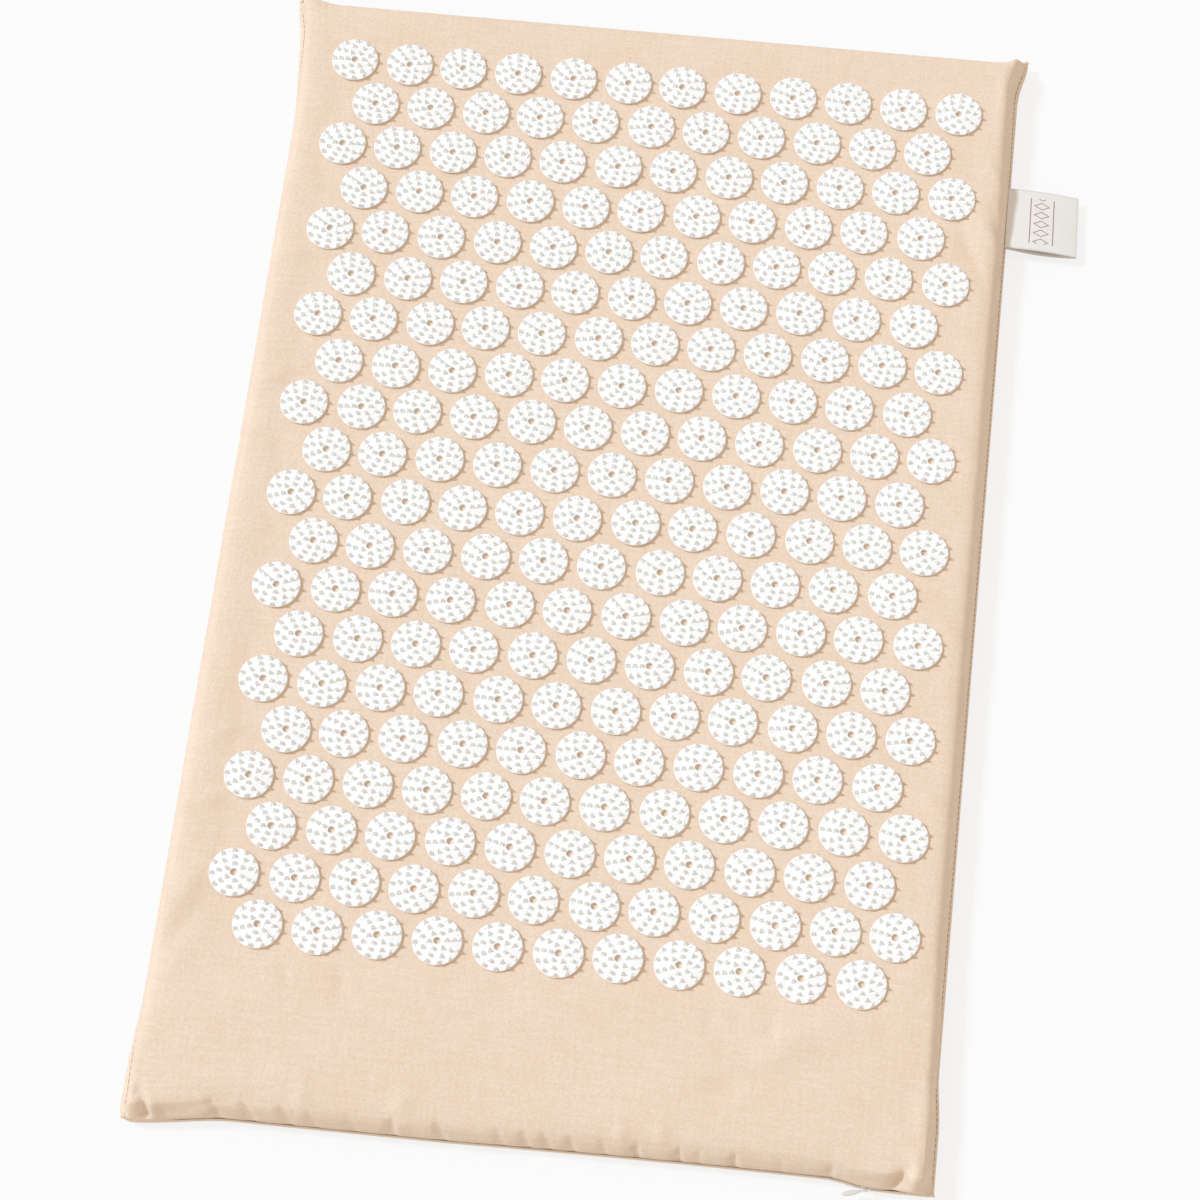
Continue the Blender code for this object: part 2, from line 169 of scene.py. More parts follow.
# Swings of each ear: how far out it goes, how far off the corner it starts, and where it is full.
EARS = {
    (-1, 1): {"side": ((0.0055, 0.080, 0), (0.0030, 0.022, 0)), "end": ((0.0030, 0.020, 0.007),)},
    (1, 1): {"side": ((0.0044, 0.024, 0),), "end": ((0.0037, 0.0125, 0.006),)},
    (-1, -1): {"side": ((0.0022, 0.062, 0.020),), "end": ((0.0055, 0.054, 0.004),)},
    (1, -1): {"side": ((0.0022, 0.060, 0.030),), "end": ((0.0034, 0.052, 0.028),)},
}
FRONT_BOW = 0.0012
FRONT_BOW_MIDDLE = 0.090
FRONT_BOW_HALF = 0.130


def ease(share):
    """A smooth way from 0 to 1, level at both ends."""
    held = min(max(share, 0), 1)
    return held * held * (3 - 2 * held)


def drawn_out(swings, distance):
    """How far an edge has swung out, at this distance from the corner."""
    return sum(reach * ease((start - distance) / (start - full)) for reach, start, full in swings)


def rounded(to_side, to_end, radius):
    """Draws a square corner in to a round one, by moving what lies within the radius."""
    in_x = (radius - to_side) / radius
    in_y = (radius - to_end) / radius
    if min(in_x, in_y) <= 0:
        return to_side, to_end
    share = max(in_x, in_y) / math.hypot(in_x, in_y)
    return radius * (1 - in_x * share), radius * (1 - in_y * share)


def settled(x, y):
    """Where a point of the cover, or of what is sewn to it, lies on the real mat."""
    corner = (1 if x > 0 else -1, 1 if y > 0 else -1)
    to_side, to_end = HALF_WIDTH - abs(x), HALF_LENGTH - abs(y)
    to_side, to_end = rounded(to_side, to_end, CORNER_ROUNDS[corner])
    x = corner[0] * (HALF_WIDTH - to_side)
    y = corner[1] * (HALF_LENGTH - to_end)
    side_share = ease(1 - to_side / EAR_DEPTH)
    end_share = ease(1 - to_end / EAR_DEPTH)
    out_x = corner[0] * drawn_out(EARS[corner]["side"], to_end) * side_share
    out_y = corner[1] * drawn_out(EARS[corner]["end"], to_side) * end_share
    if y < 0:
        out_y += FRONT_BOW * max(1 - ((x - FRONT_BOW_MIDDLE) / FRONT_BOW_HALF) ** 2, 0) * end_share
    shear = SHIFT + y * (SHEAR_SHARE - SHEAR_NARROWING_SHARE * x / HALF_WIDTH)
    return x + shear + out_x, y + END_SLANT_SHARE * x + out_y


# Foam slab: 20 mm of open-cell foam, cut square with a hot wire, which leaves a fine porous skin.
# It lies loose in the cover and keeps the mat flat.
def two_tone(name, texture, output, dark, light, relief, roughness):
    """A material whose one texture, on Object coordinates, tones the colour and raises the skin."""
    made, node, join = blank_material(name)
    place = node("ShaderNodeTexCoord")
    pattern = node(texture)
    tone = node("ShaderNodeValToRGB")
    tone.color_ramp.elements[0].color = (*dark, 1)
    tone.color_ramp.elements[1].color = (*light, 1)
    skin = node("ShaderNodeBump")
    skin.inputs["Distance"].default_value = relief
    shader = node("ShaderNodeBsdfPrincipled")
    shader.inputs["Roughness"].default_value = roughness
    out = node("ShaderNodeOutputMaterial")
    join(place.outputs["Object"], pattern.inputs["Vector"])
    join(pattern.outputs[output], tone.inputs["Fac"])
    join(pattern.outputs[output], skin.inputs["Height"])
    join(tone.outputs["Color"], shader.inputs["Base Color"])
    join(skin.outputs["Normal"], shader.inputs["Normal"])
    join(shader.outputs[0], out.inputs["Surface"])
    return made, pattern, skin, shader


foam_skin, foam_cells, foam_pits, _ = two_tone(
    "open_cell_foam", "ShaderNodeTexVoronoi", "Distance",
    dark=(0.60, 0.58, 0.52), light=(0.80, 0.78, 0.72), relief=0.0004, roughness=1,
)
foam_cells.inputs["Scale"].default_value = 900
foam_pits.inputs["Strength"].default_value = 0.8

foam_low, foam_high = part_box("foam_core")
FOAM_CORNER = 0.012
FOAM_EDGE = 0.003
foam_bm = bmesh.new()
bmesh.ops.create_cube(foam_bm, size=1)
bmesh.ops.scale(foam_bm, vec=foam_high - foam_low, verts=foam_bm.verts)
bmesh.ops.translate(foam_bm, vec=(foam_high + foam_low) / 2, verts=foam_bm.verts)
foam_uprights = [e for e in foam_bm.edges if (e.verts[0].co.xy - e.verts[1].co.xy).length == 0]
bmesh.ops.bevel(
    foam_bm, geom=foam_uprights, offset=FOAM_CORNER, segments=6, profile=0.5, affect="EDGES",
    material=-1,
)
foam_rims = {e for f in foam_bm.faces if abs(f.normal.z) > 0.5 for e in f.edges}
bmesh.ops.bevel(
    foam_bm, geom=list(foam_rims), offset=FOAM_EDGE, segments=4, profile=0.5, affect="EDGES",
    material=-1,
)
for vert in foam_bm.verts:
    vert.co.xy = settled(vert.co.x, vert.co.y)
foam = piece_from(foam_bm, "foam_slab", foam_skin, "mat")
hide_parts("foam_core")

# Cover cloth: plain-weave cotton dyed peach. The weave follows the cloth's own flat measure,
# which each panel keeps in metres in its UV map, so the threads turn over the edges with it.
cotton, node, join = blank_material("peach_cotton")
cloth_flat = node("ShaderNodeUVMap")
cloth_flat.uv_map = "flat"


ONE_RIB_SCALE = 0.31416


def thread_wave(direction, per_metre, wobble):
    """Ribs of one set of threads: a wave across the cloth, bent a little by noise."""
    stretched = node("ShaderNodeMapping")
    stretched.inputs["Scale"].default_value = (per_metre, per_metre, 1)
    ribs = node("ShaderNodeTexWave")
    ribs.wave_type = "BANDS"
    ribs.bands_direction = direction
    ribs.inputs["Scale"].default_value = ONE_RIB_SCALE
    ribs.inputs["Distortion"].default_value = wobble
    ribs.inputs["Detail"].default_value = 1
    ribs.inputs["Detail Scale"].default_value = 0.35
    join(cloth_flat.outputs["UV"], stretched.inputs["Vector"])
    join(stretched.outputs["Vector"], ribs.inputs["Vector"])
    return ribs.outputs["Fac"]


def cloth_noise(scale, detail, stretch=(1, 1, 1)):
    """Noise on the cloth's flat measure, drawn out along the threads where it is stretched."""
    spread = node("ShaderNodeMapping")
    spread.inputs["Scale"].default_value = stretch
    cloud = node("ShaderNodeTexNoise")
    cloud.inputs["Scale"].default_value = scale
    cloud.inputs["Detail"].default_value = detail
    join(cloth_flat.outputs["UV"], spread.inputs["Vector"])
    join(spread.outputs["Vector"], cloud.inputs["Vector"])
    return cloud.outputs["Fac"]


def math_of(operation, first, second=0):
    """A step of maths in the material being made, fed by numbers or by other nodes."""
    made = node("ShaderNodeMath")
    made.operation = operation
    for socket, value in zip(made.inputs, (first, second)):
        if isinstance(value, (int, float)):
            socket.default_value = value
        else:
            join(value, socket)
    return made.outputs[0]


THREADS_PER_METRE = 2400
THREAD_WOBBLE = 1.2
WEAVE_TONE_SHARE = 0.16
SLUB_TONE_SHARE = 0.16
MOTTLE_TONE_SHARE = 0.42
CLOUD_TONE_SHARE = 0.14
SLUB_RELIEF_SHARE = 0.5
warp = thread_wave("X", THREADS_PER_METRE, THREAD_WOBBLE)
weft = thread_wave("Y", THREADS_PER_METRE, THREAD_WOBBLE)
weave = math_of("MULTIPLY", warp, weft)
slubs_along = cloth_noise(scale=420, detail=2, stretch=(1, 0.14, 1))
slubs_across = cloth_noise(scale=420, detail=2, stretch=(0.14, 1, 1))
slubs = math_of("ADD", slubs_along, slubs_across)
mottle = cloth_noise(scale=650, detail=3)
cloud = cloth_noise(scale=26, detail=3)
tone = math_of("MULTIPLY", weave, WEAVE_TONE_SHARE)
tone = math_of("ADD", tone, math_of("MULTIPLY", slubs, SLUB_TONE_SHARE))
tone = math_of("ADD", tone, math_of("MULTIPLY", mottle, MOTTLE_TONE_SHARE))
tone = math_of("ADD", tone, math_of("MULTIPLY", cloud, CLOUD_TONE_SHARE))
dye = node("ShaderNodeValToRGB")
dye.color_ramp.elements[0].position = 0.28
dye.color_ramp.elements[0].color = (0.808, 0.608, 0.452, 1)
dye.color_ramp.elements[1].position = 0.62
dye.color_ramp.elements[1].color = (0.950, 0.790, 0.643, 1)
join(tone, dye.inputs["Fac"])
cloth_relief = math_of("ADD", weave, math_of("MULTIPLY", slubs, SLUB_RELIEF_SHARE))
cloth_bump = node("ShaderNodeBump")
cloth_bump.inputs["Strength"].default_value = 0.35
cloth_bump.inputs["Distance"].default_value = 0.00018
join(cloth_relief, cloth_bump.inputs["Height"])
cloth_shader = node("ShaderNodeBsdfPrincipled")
cloth_shader.inputs["Roughness"].default_value = 0.88
cloth_shader.inputs["Specular IOR Level"].default_value = 0.15
cloth_shader.inputs["Sheen Weight"].default_value = 0.08
cloth_shader.inputs["Sheen Roughness"].default_value = 0.5
cloth_shader.inputs["Sheen Tint"].default_value = (1, 0.90, 0.80, 1)
cloth_out = node("ShaderNodeOutputMaterial")
join(dye.outputs["Color"], cloth_shader.inputs["Base Color"])
join(cloth_bump.outputs["Normal"], cloth_shader.inputs["Normal"])
join(cloth_shader.outputs[0], cloth_out.inputs["Surface"])

# Spike discs' places: rows of 12 and 11 by turns, glued by hand and so a little off the grid. The
# cover needs them too, because the glue holds the cloth under each disc.
DISC_PITCH = 0.031
DISC_ROWS = 20
LONG_ROW_DISCS = 12
DISC_STRAY = 0.0004
ROW_BOW = 0.0011
ROW_BOW_MIDDLE_SHARE = 0.5
lay = random.Random(27)


def disc_row(number):
    """The node of a row and the middles of its discs on the cloth."""
    node_name = f"spike_disc_row_{number + 1:02d}"
    row_low, row_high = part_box(node_name)
    count = LONG_ROW_DISCS - number % 2
    middles = []
    for column in range(count):
        middle = (row_low + row_high) / 2
        middle.x += (column - (count - 1) / 2) * DISC_PITCH + lay.uniform(-DISC_STRAY, DISC_STRAY)
        middle.y += lay.uniform(-DISC_STRAY, DISC_STRAY)
        middle.y += ROW_BOW * (ROW_BOW_MIDDLE_SHARE - (middle.x / row_high.x) ** 2)
        middles.append(middle)
    return node_name, middles


disc_rows = [disc_row(number) for number in range(DISC_ROWS)]

# Cover panels: an upper one turned down over the foam and a lower one turned up to meet it. The
# seam is sewn from inside, so it lies in a groove and leaves a flat ear at each corner. The zip's
# opening runs on a little past the parked slider, which leaves its pull room to swing round.
SEAM_Z = 0.0085
TOP_Z = upper_high.z
CLOTH_THICKNESS = 0.0006
TAPE_PAST_ZIP = 0.003
ZIP_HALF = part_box("zip_tape_upper")[1].x - TAPE_PAST_ZIP
ZIP_EASE = 0.010
ZIP_LIP = 0.00105
PULL_ROOM = 0.0135
ROLL_STEPS = 12
UPPER_ROLL = 0.0120
LOWER_ROLL = 0.0115
REAR_SECTION_SHARES = (
    (0.050, 0.00), (0.070, 0.12), (0.125, 0.36), (0.24, 0.64), (0.44, 0.875), (0.70, 0.98), (1, 1),
)
LEFT_SECTION_SHARES = (
    (0.050, 0.00), (0.065, 0.13), (0.10, 0.38), (0.18, 0.67), (0.33, 0.89), (0.57, 0.98), (1, 1),
)
FRONT_SECTION_SHARES = (
    (0.050, 0.00), (0.11, 0.16), (0.24, 0.42), (0.36, 0.66), (0.49, 0.875), (0.63, 0.975), (1, 1),
)
RIGHT_SECTION_SHARES = (
    (0.050, 0.00), (0.100, 0.15), (0.21, 0.41), (0.34, 0.67), (0.48, 0.885), (0.65, 0.98), (1, 1),
)
LOWER_SECTION_SHARES = ((0.052, 0.00), (-0.05, 0.16), (-0.02, 0.52), (0.28, 0.92), (1, 1))
LOWER_FRONT_SHARES = ((0.052, 0.00), (0.020, 0.16), (0.035, 0.50), (0.30, 0.92), (1, 1))


def along_section(shares, at):
    """A point of the edge's section, from the seam at 0 to the flat at 1, on a smooth curve."""
    spans = len(shares) - 1
    span = min(int(at * spans), spans - 1)
    t = at * spans - span
    points = [Vector(shares[min(max(span + k, 0), spans)]) for k in (-1, 0, 1, 2)]
    before, start, end, after = points
    bend_in = (end - before) / 2
    bend_out = (after - start) / 2
    return (
        start * (2 * t**3 - 3 * t**2 + 1)
        + bend_in * (t**3 - 2 * t**2 + t)
        + end * (3 * t**2 - 2 * t**3)
        + bend_out * (t**3 - t**2)
    )


# Where the seam is sewn a little further in, so that the lower panel shows outside it: which side,
# where along it, how far that reaches, and how deep.
SEAM_TUCKS = (
    (-1, -0.314, 0.026, 0.0015), (-1, 0.303, 0.028, 0.0011), (-1, 0.060, 0.090, 0.0004),
    (1, -0.240, 0.080, 0.0004), (1, 0.300, 0.030, 0.0008),
)
LOWER_TUCK_RISE = 0.30
LEFT_TUCK_LEAN_SHARE = 1.3
TUCK_FADE_POWER = 4


def seam_tuck(x, y):
    """How much further in than elsewhere the seam is sewn here."""
    return sum(
        depth * math.exp(-(((y - place) / reach) ** 2))
        for side, place, reach, depth in SEAM_TUCKS if side * x > 0
    )


def rolled_edge(half, roll, shares):
    """One edge of a panel from the seam in: each place, its share of the rise, its flat place."""
    points = [along_section(shares, step / ROLL_STEPS) for step in range(ROLL_STEPS + 1)]
    run = [0]
    for one, two in zip(points, points[1:]):
        run.append(run[-1] + (two - one).length * roll)
    return [
        (half - point.x * roll, point.y, half - roll + run[-1] - far) for point, far in zip(points, run)
    ]


def panel_lines(half, roll, low_shares, high_shares, flat_cells):
    """Places across a panel from one seam to the other, as a rolled edge, a flat and a rolled edge."""
    low = [(-place, rise, -flat) for place, rise, flat in rolled_edge(half, roll, low_shares)]
    high = rolled_edge(half, roll, high_shares)
    steps = [(half - roll) * (2 * cell / flat_cells - 1) for cell in range(1, flat_cells)]
    return low + [(step, 1, step) for step in steps] + high[::-1]


def cover_panel(side, roll, far_z, left_shares, right_shares, front_shares, rear_shares, cells):
    """One panel of the cover as a fine sheet, shaped over the foam, with its flat measure in UV."""
    across = panel_lines(HALF_WIDTH, roll, left_shares, right_shares, cells[0])
    along = panel_lines(HALF_LENGTH, roll, front_shares, rear_shares, cells[1])
    columns, rows = len(across), len(along)
    bm = bmesh.new()
    bmesh.ops.create_grid(bm, x_segments=columns - 1, y_segments=rows - 1, size=1)
    flat = bm.loops.layers.uv.new("flat")
    flat_places = {}
    for vert in bm.verts:
        column = round((vert.co.x + 1) / 2 * (columns - 1))
        row = round((vert.co.y + 1) / 2 * (rows - 1))
        x, rise_x, flat_x = across[column]
        y, rise_y, flat_y = along[row]
        zip_end = ZIP_HALF + PULL_ROOM if x > 0 else ZIP_HALF
        zipped = 0 if y > 0 else 1 - ease((abs(x) - zip_end) / ZIP_EASE)
        foot = SEAM_Z + side * ZIP_LIP * zipped
        z = foot + (far_z - foot) * rise_x * rise_y
        if side > 0:
            lean_share = LEFT_TUCK_LEAN_SHARE if x < 0 else 0
            tuck_share = (1 + lean_share * rise_x) * (1 - rise_x**TUCK_FADE_POWER)
        else:
            tuck_share = ease(1 - rise_x / LOWER_TUCK_RISE)
        tucked = seam_tuck(x, y) * tuck_share
        vert.co = (*settled(x - math.copysign(tucked, x), y), z)
        flat_places[vert] = (flat_x, flat_y)
    smooth(bm)
    for face in bm.faces:
        for loop in face.loops:
            loop[flat].uv = flat_places[loop.vert]
    if side < 0:
        bmesh.ops.reverse_faces(bm, faces=bm.faces)
    return bm


def thicken(sheet, name, thickness, offset=0):
    """Gives a drawn surface its thickness, half to each side of it, or all inside it at -1."""
    wall = sheet.modifiers.new(name, "SOLIDIFY")
    wall.thickness = thickness
    wall.offset = offset


# Folds that show on the mat: from one end to the other, how wide, and how high, or deep if minus.
FOLDS = (
    (-0.2008, -0.1308, -0.1760, -0.1160, 0.0040, 0.0013),
    (-0.2012, -0.1637, -0.1760, -0.1520, 0.0040, 0.0012),
    (-0.2027, -0.2230, -0.1860, -0.1940, 0.0060, 0.0017),
    (-0.2020, -0.2420, -0.1840, -0.2130, 0.0050, -0.0013),
    (-0.2013, 0.0759, -0.1740, 0.0910, 0.0040, 0.0012),
    (-0.2000, 0.1560, -0.1670, 0.1615, 0.0035, 0.0011),
    (-0.1379, -0.2410, -0.1358, -0.2550, 0.0024, -0.0010),
    (-0.1096, -0.2410, -0.1078, -0.2560, 0.0026, -0.0012),
    (0.0798, -0.2420, 0.0810, -0.2560, 0.0024, -0.0010),
    (0.1103, -0.2420, 0.1120, -0.2570, 0.0026, -0.0010),
    (0.0952, -0.2725, 0.1412, -0.2470, 0.0085, 0.0018),
    (0.0760, -0.2905, 0.1050, -0.2740, 0.0070, -0.0012),
    (-0.1214, -0.3030, -0.1193, -0.3160, 0.0040, 0.0010),
    (-0.0710, -0.3000, -0.0690, -0.3160, 0.0050, 0.0011),
    (0.0406, -0.3040, 0.0420, -0.3170, 0.0040, 0.0010),
    (0.0606, -0.3020, 0.0623, -0.3170, 0.0040, 0.0010),
    (-0.1970, -0.3310, -0.2010, -0.3150, 0.0023, -0.0028),
    (-0.1930, -0.3300, -0.1963, -0.3160, 0.0028, 0.0012),
    (-0.2062, -0.3165, -0.2014, -0.3132, 0.0017, -0.0020),
    (0.1760, -0.3270, 0.1868, -0.3130, 0.0028, -0.0038),
    (0.1885, -0.3110, 0.1905, -0.3300, 0.0044, 0.0028),
    (0.1955, 0.3230, 0.1945, 0.2560, 0.0024, 0.0013),
    (0.1765, 0.2120, 0.1925, 0.1740, 0.0040, -0.0014),
    (0.1840, 0.2200, 0.2000, 0.1960, 0.0035, 0.0014),
    (0.1879, 0.2540, 0.1990, 0.2360, 0.0026, 0.0016),
    (0.1935, 0.2244, 0.1995, 0.2060, 0.0024, -0.0012),
    (0.1830, 0.1500, 0.1990, 0.1420, 0.0035, -0.0011),
    (0.1780, 0.0900, 0.1960, 0.0700, 0.0040, 0.0011),
    (0.1760, -0.0200, 0.1960, -0.0350, 0.0040, 0.0011),
    (0.1760, -0.1180, 0.1950, -0.1300, 0.0040, 0.0011),
    (0.1955, -0.2100, 0.1905, -0.3150, 0.0045, 0.0017),
)
# Puckers that the zip draws into the front edge: where each starts at the crest, how deep it is,
# and how far it runs to the right on its way down. It widens from the crest to the zip.
PUCKERS = (
    (-0.1860, 0.5, 0.6), (-0.1655, 0.9, 0.9), (-0.1492, 1.0, 0.9), (-0.1300, 1.0, 0.9),
    (-0.1165, 0.5, 0.9), (-0.0960, 0.4, 0.8), (-0.0735, 0.9, 0.2), (-0.0510, 1.0, 0.8),
    (-0.0205, 0.7, 0.7), (-0.0077, 1.0, 0.7), (0.0030, 0.9, 0.8), (0.0163, 0.9, 0.5),
    (0.0330, 0.6, 0.4), (0.0502, 1.0, 0.1), (0.0715, 1.0, 0.1), (0.0815, 0.5, 0.1),
    (0.0995, 1.0, 0.1), (0.1230, 0.3, 0.1), (0.1480, 0.6, 0.1),
)
PUCKER_CREST = 0.0060
PUCKER_DEPTH = 0.0017
PUCKER_NARROW = 0.0022
PUCKER_WIDE = 0.0046
PUCKER_BULGE = 0.0005
PUCKER_SOFT_SIDE = 0.8
PUCKER_STEEP_SIDE = 7
PUCKER_REACH_WIDTHS = 4
PUCKER_TOP_SHARE = 1.3
PUCKER_FADE_SHARE = 0.5
FOLD_REACH_WIDTHS = 3
FOLD_END_SHARE = 0.12


def fold_height(x, y):
    """What the folds near a point add to its height."""
    added = 0
    for start_x, start_y, end_x, end_y, width, height in FOLDS:
        run = Vector((end_x - start_x, end_y - start_y))
        to = Vector((x - start_x, y - start_y))
        if max(abs(to.x), abs(to.y)) > run.length + FOLD_REACH_WIDTHS * width:
            continue
        share = to.dot(run) / run.length_squared
        beyond = max(-share, share - 1, 0) * run.length
        across = abs(run.cross(to)) / run.length
        taper = math.sin(math.pi * min(max(share, FOLD_END_SHARE), 1 - FOLD_END_SHARE))
        added += height * taper * math.exp(-((across / width) ** 2) - (beyond / width) ** 2)
    return added


def pucker_depth(x, from_front):
    """How far the zip's puckers draw the cloth in, or how far it bulges between them if minus."""
    if from_front > PUCKER_TOP_SHARE * PUCKER_CREST:
        return 0
    down = min(max(1 - from_front / PUCKER_CREST, 0), 1)
    width = PUCKER_NARROW + (PUCKER_WIDE - PUCKER_NARROW) * down
    drawn = 0
    for place, depth_share, slant_share in PUCKERS:
        across = (x - place - slant_share * PUCKER_CREST * down) / width
        if abs(across) < PUCKER_REACH_WIDTHS:
            steepness = PUCKER_SOFT_SIDE if across < 0 else PUCKER_STEEP_SIDE
            drawn += depth_share * math.exp(-steepness * across * across)
    fade = ease((PUCKER_TOP_SHARE - from_front / PUCKER_CREST) / PUCKER_FADE_SHARE)
    along_zip = 1 - ease((abs(x) - ZIP_HALF) / ZIP_EASE)
    return (PUCKER_DEPTH * drawn - PUCKER_BULGE) * fade * along_zip


def let_settle(panel, held, slack):
    """Lets the cloth find its own puckers between what holds it, and keeps only small moves."""
    frames = 20
    most_move = 0.0016
    holding = panel.vertex_groups.new(name="held")
    loose = panel.vertex_groups.new(name="slack")
    for vert in panel.data.vertices:
        holding.add([vert.index], held(vert.co), "REPLACE")
        loose.add([vert.index], slack(vert.co), "REPLACE")
    drape = panel.modifiers.new("drape", "CLOTH")
    drape.settings.quality = 5
    drape.settings.mass = 0.02
    drape.settings.tension_stiffness = 25
    drape.settings.compression_stiffness = 25
    drape.settings.shear_stiffness = 8
    drape.settings.bending_stiffness = 0.05
    drape.settings.vertex_group_mass = "held"
    drape.settings.vertex_group_shrink = "slack"
    drape.settings.shrink_min = 0
    drape.settings.shrink_max = -0.05
    drape.settings.use_pressure = True
    drape.settings.uniform_pressure_force = 0.4
    drape.settings.effector_weights.gravity = 0
    drape.collision_settings.use_collision = False
    drape.point_cache.frame_start = 1
    drape.point_cache.frame_end = frames
    for frame_number in range(1, frames + 1):
        bpy.context.scene.frame_set(frame_number)
    draped = panel.evaluated_get(bpy.context.evaluated_depsgraph_get()).to_mesh()
    places = [vert.co.copy() for vert in draped.vertices]
    panel.modifiers.remove(drape)
    bpy.context.scene.frame_set(1)
    for vert, place in zip(panel.data.vertices, places):
        move = place - vert.co
        if move.length > most_move:
            move *= most_move / move.length
        vert.co += move


GLUED_RADIUS = 0.0118
SEAM_HOLD = 0.0016
EDGE_SLACK_X = 0.165
EDGE_SLACK_Y = 0.285
EDGE_SLACK_RUN = 0.020
LEAST_SLACK_SHARE = 0.15


def held_share(place):
    """1 at the seam and under the discs, where nothing moves."""
    if place.z < SEAM_Z + SEAM_HOLD:
        return 1
    for middle in disc_middles.get((round(place.x / DISC_PITCH), round(place.y / DISC_PITCH)), ()):
        if (place.xy - middle.xy).length < GLUED_RADIUS:
            return 1
    return 0


def slack_share(place):
    """Where the cloth is fuller than the foam needs: along the edges more than among the discs."""
    to_side = ease((abs(place.x) - EDGE_SLACK_X) / EDGE_SLACK_RUN)
    to_end = ease((abs(place.y) - EDGE_SLACK_Y) / EDGE_SLACK_RUN)
    return LEAST_SLACK_SHARE + (1 - LEAST_SLACK_SHARE) * max(to_side, to_end)


disc_middles = {}
for _, middles in disc_rows:
    for middle in middles:
        for near_x in range(-1, 2):
            for near_y in range(-1, 2):
                cell = (round(middle.x / DISC_PITCH) + near_x, round(middle.y / DISC_PITCH) + near_y)
                disc_middles.setdefault(cell, []).append(middle)

upper_bm = cover_panel(
    1, UPPER_ROLL, TOP_Z, LEFT_SECTION_SHARES, RIGHT_SECTION_SHARES, FRONT_SECTION_SHARES,
    REAR_SECTION_SHARES, cells=(144, 236),
)
upper_panel = piece_from(upper_bm, "cover_upper", cotton, "mat")
let_settle(upper_panel, held_share, slack_share)

# The front edge gets finer lines, and then the folds and puckers, which fade out at the seam.
FINE_REACH = 0.024
SEAM_FADE_RISE = 0.004
fine_bm = bmesh.new()
fine_bm.from_mesh(upper_panel.data)
near_front = [
    edge for edge in fine_bm.edges
    if max(v.co.y for v in edge.verts) < FINE_REACH - HALF_LENGTH
    and abs(edge.verts[0].co.x - edge.verts[1].co.x) > abs(edge.verts[0].co.y - edge.verts[1].co.y)
]
bmesh.ops.subdivide_edges(fine_bm, edges=near_front, cuts=2)
fine_bm.normal_update()
outward = [vert.normal.copy() for vert in fine_bm.verts]
for vert, normal in zip(fine_bm.verts, outward):
    free = ease((vert.co.z - SEAM_Z) / SEAM_FADE_RISE)
    drawn = pucker_depth(vert.co.x, vert.co.y + HALF_LENGTH)
    vert.co += normal * free * (fold_height(vert.co.x, vert.co.y) - drawn)
fine_bm.to_mesh(upper_panel.data)
fine_bm.free()
thicken(upper_panel, "cloth thickness", CLOTH_THICKNESS, -1)
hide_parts("cover_upper_panel")

lower_bm = cover_panel(
    -1, LOWER_ROLL, 0, LOWER_SECTION_SHARES, LOWER_SECTION_SHARES, LOWER_FRONT_SHARES,
    LOWER_SECTION_SHARES, cells=(60, 100),
)
lower_panel = piece_from(lower_bm, "cover_lower", cotton, "mat")
thicken(lower_panel, "cloth thickness", CLOTH_THICKNESS, -1)
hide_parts("cover_lower_panel")

# Sewing thread: a lockstitch along both sides and the rear, sunk in the groove of the seam, where
# each stitch shows as a short bead.
STITCH_PITCH = 0.0030
STITCH_LENGTH = 0.0023
THREAD_RADIUS = 0.00036
SEAM_INSET = 0.0006
SEAM_END = 0.007
# The thread's dark brown is partly painted shade: it is darker than the thread itself, so that the
# stitches also give the shade in the seam's groove.
thread_and_painted_shade, thread_ply, _, thread_shader = two_tone(
    "cotton_thread_painted_shade", "ShaderNodeTexWave", "Fac",
    dark=(0.32, 0.22, 0.15), light=(0.54, 0.39, 0.28), relief=0.00005, roughness=0.7,
)
thread_ply.bands_direction = "DIAGONAL"
thread_ply.inputs["Scale"].default_value = 900
thread_shader.inputs["Sheen Weight"].default_value = 0.3


def stitch(bm, start, end):
    """One bead of thread, thickest in the middle, from where it comes up to where it goes down."""
    run = end - start
    turn = Vector((1, 0, 0)).rotation_difference(run).to_matrix().to_4x4()
    verts = bmesh.ops.create_uvsphere(bm, u_segments=6, v_segments=5, radius=1)["verts"]
    shape = Matrix.Diagonal((run.length / 2, THREAD_RADIUS, THREAD_RADIUS, 1))
    upright = Matrix.Rotation(math.pi / 2, 4, "Y")
    matrix = Matrix.Translation((start + end) / 2) @ turn @ shape @ upright
    bmesh.ops.transform(bm, matrix=matrix, verts=verts)


def stitch_run(bm, half, place_of):
    """A run of stitches along an edge, from one end to the other."""
    count = int(2 * (half - SEAM_END) / STITCH_PITCH)
    for number in range(count):
        start = (number - count / 2) * STITCH_PITCH
        ends = [Vector((*settled(*place_of(at)), SEAM_Z)) for at in (start, start + STITCH_LENGTH)]
        stitch(bm, *ends)


thread_bm = bmesh.new()
for side in (-1, 1):
    stitch_run(
        thread_bm, HALF_LENGTH,
        lambda y: (side * (HALF_WIDTH - SEAM_INSET - seam_tuck(side, y)), y),
    )
stitch_run(thread_bm, HALF_WIDTH, lambda x: (x, HALF_LENGTH - SEAM_INSET))
smooth(thread_bm)
piece_from(thread_bm, "seam_thread", thread_and_painted_shade, "mat")

